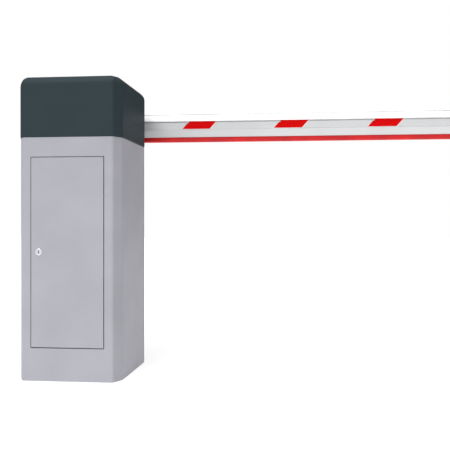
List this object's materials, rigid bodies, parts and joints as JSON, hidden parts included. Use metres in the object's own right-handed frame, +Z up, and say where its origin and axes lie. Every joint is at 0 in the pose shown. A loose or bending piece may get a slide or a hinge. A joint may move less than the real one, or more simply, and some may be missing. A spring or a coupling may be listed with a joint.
{
  "type": "parking barrier gate",
  "caption": "Sheet-steel barrier cabinet with a lift-off cap, a hinged service door, a motor-driven lever mechanism with balance springs, and a long faceted boom that lifts upright.",
  "frame": {"origin": "middle of the cabinet's foot, on the surface it stands on", "axes": "+Z up, +X along the lowered boom, -Y out through the service door"},
  "size_m": [3.0823, 0.4073, 1.01],
  "materials": {
    "grey_paint": "light grey powder coat, semi-matt",
    "dark_paint": "dark grey powder coat, semi-matt",
    "galvanised": "zinc-plated sheet steel",
    "steel": "machined or plated steel",
    "cast_iron": "painted casting",
    "motor_paint": "blue-grey motor paint",
    "aluminium": "white-coated or anodised aluminium",
    "black_rubber": "moulded black rubber",
    "red_rubber": "moulded red rubber",
    "black_plastic": "moulded black plastic",
    "pale_plastic": "moulded pale grey plastic",
    "spring_steel": "dark phosphated spring wire"
  },
  "bodies": {
    "cabinet": {"cabinet_shell": "grey_paint", "rear_panel": "grey_paint", "base_plate": "galvanised", "hinge_bracket_upper": "galvanised", "hinge_bracket_lower": "galvanised", "support_rail_left": "galvanised", "support_rail_right": "galvanised", "chassis_left_plate": "galvanised", "chassis_right_plate": "galvanised", "chassis_top_plate": "galvanised", "gearbox_bracket": "galvanised", "spring_crossbar": "galvanised", "equipment_plate": "galvanised", "anchor_bolt_1": "steel", "anchor_bolt_2": "steel", "anchor_bolt_3": "steel", "anchor_bolt_4": "steel", "spring_adjuster_1": "steel", "spring_adjuster_2": "steel", "bearing_block_front": "cast_iron", "bearing_block_rear": "cast_iron", "gearbox_case": "cast_iron", "motor_body": "motor_paint", "motor_terminal_box": "motor_paint", "gearbox_cover": "aluminium", "stop_buffer_closed": "black_rubber", "stop_buffer_open": "black_rubber", "cable_gland": "black_plastic", "motor_fan_cover": "black_plastic", "position_sensor_closed": "black_plastic", "position_sensor_open": "black_plastic", "control_box_case": "pale_plastic", "control_box_lid": "pale_plastic", "breaker_body": "pale_plastic", "spring_1": "spring_steel", "spring_2": "spring_steel"},
    "boom": {"main_shaft": "steel", "main_lever": "steel", "stop_lever": "steel", "hub_flange": "dark_paint", "boom_clamp_plate": "dark_paint", "clamp_bolt_1": "steel", "clamp_bolt_2": "steel", "clamp_bolt_3": "steel", "clamp_bolt_4": "steel", "boom_extrusion": "aluminium", "boom_tail_cap": "black_plastic", "boom_end_cap": "black_plastic", "boom_rubber_edge": "red_rubber"},
    "crank": {"output_shaft": "steel", "crank_arm": "steel"},
    "rod": {"connecting_rod": "steel"},
    "spring_yoke": {"spring_hanger": "steel"},
    "rotor": {"motor_rotor": "steel"},
    "door": {"door_panel": "grey_paint", "lock_barrel": "steel"},
    "lock": {"lock_cam": "steel"},
    "cap_cover": {"cap": "dark_paint"},
    "toggle": {"breaker_toggle": "black_plastic"}
  },
  "joints": [
    {"name": "boom_lift", "type": "hinge", "parent": "cabinet", "child": "boom", "pos_m": [0, 0, 0.895], "axis": [0, -1, 0], "range_deg": [0, 90], "deforming": ["spring_1", "spring_2"]},
    {"name": "crank_turn", "type": "hinge", "parent": "cabinet", "child": "crank", "pos_m": [0.045, 0, 0.7], "axis": [0, -1, 0], "range_deg": [0, 90]},
    {"name": "rod_swing", "type": "hinge", "parent": "crank", "child": "rod", "pos_m": [0.0945, 0, 0.6505], "axis": [0, -1, 0], "range_deg": [-90, 0]},
    {"name": "yoke_swing", "type": "hinge", "parent": "boom", "child": "spring_yoke", "pos_m": [-0.0495, 0, 0.9445], "axis": [0, -1, 0], "range_deg": [-90, 0]},
    {"name": "rotor_spin", "type": "hinge", "parent": "cabinet", "child": "rotor", "pos_m": [0.091, 0.0625, 0.55], "axis": [0, 0, 1], "range_deg": [0, 2700]},
    {"name": "door_swing", "type": "hinge", "parent": "cabinet", "child": "door", "pos_m": [0.119, -0.1405, 0.425], "axis": [0, 0, 1], "range_deg": [0, 110]},
    {"name": "lock_turn", "type": "hinge", "parent": "door", "child": "lock", "pos_m": [-0.0968, -0.14, 0.4263], "axis": [0, 1, 0], "range_deg": [0, 90]},
    {"name": "cap_lift", "type": "slide", "parent": "cabinet", "child": "cap_cover", "axis": [0, 0, 1], "range_m": [0, 0.25]},
    {"name": "toggle_flip", "type": "hinge", "parent": "cabinet", "child": "toggle", "pos_m": [0.078, 0.0755, 0.2725], "axis": [-1, 0, 0], "range_deg": [0, 55]}
  ],
  "couplings": [
    {"joint": "crank_turn", "follows": "boom_lift", "ratio": 1},
    {"joint": "rod_swing", "follows": "boom_lift", "ratio": -1},
    {"joint": "yoke_swing", "follows": "boom_lift", "ratio": -1},
    {"joint": "rotor_spin", "follows": "boom_lift", "ratio": 30}
  ]
}
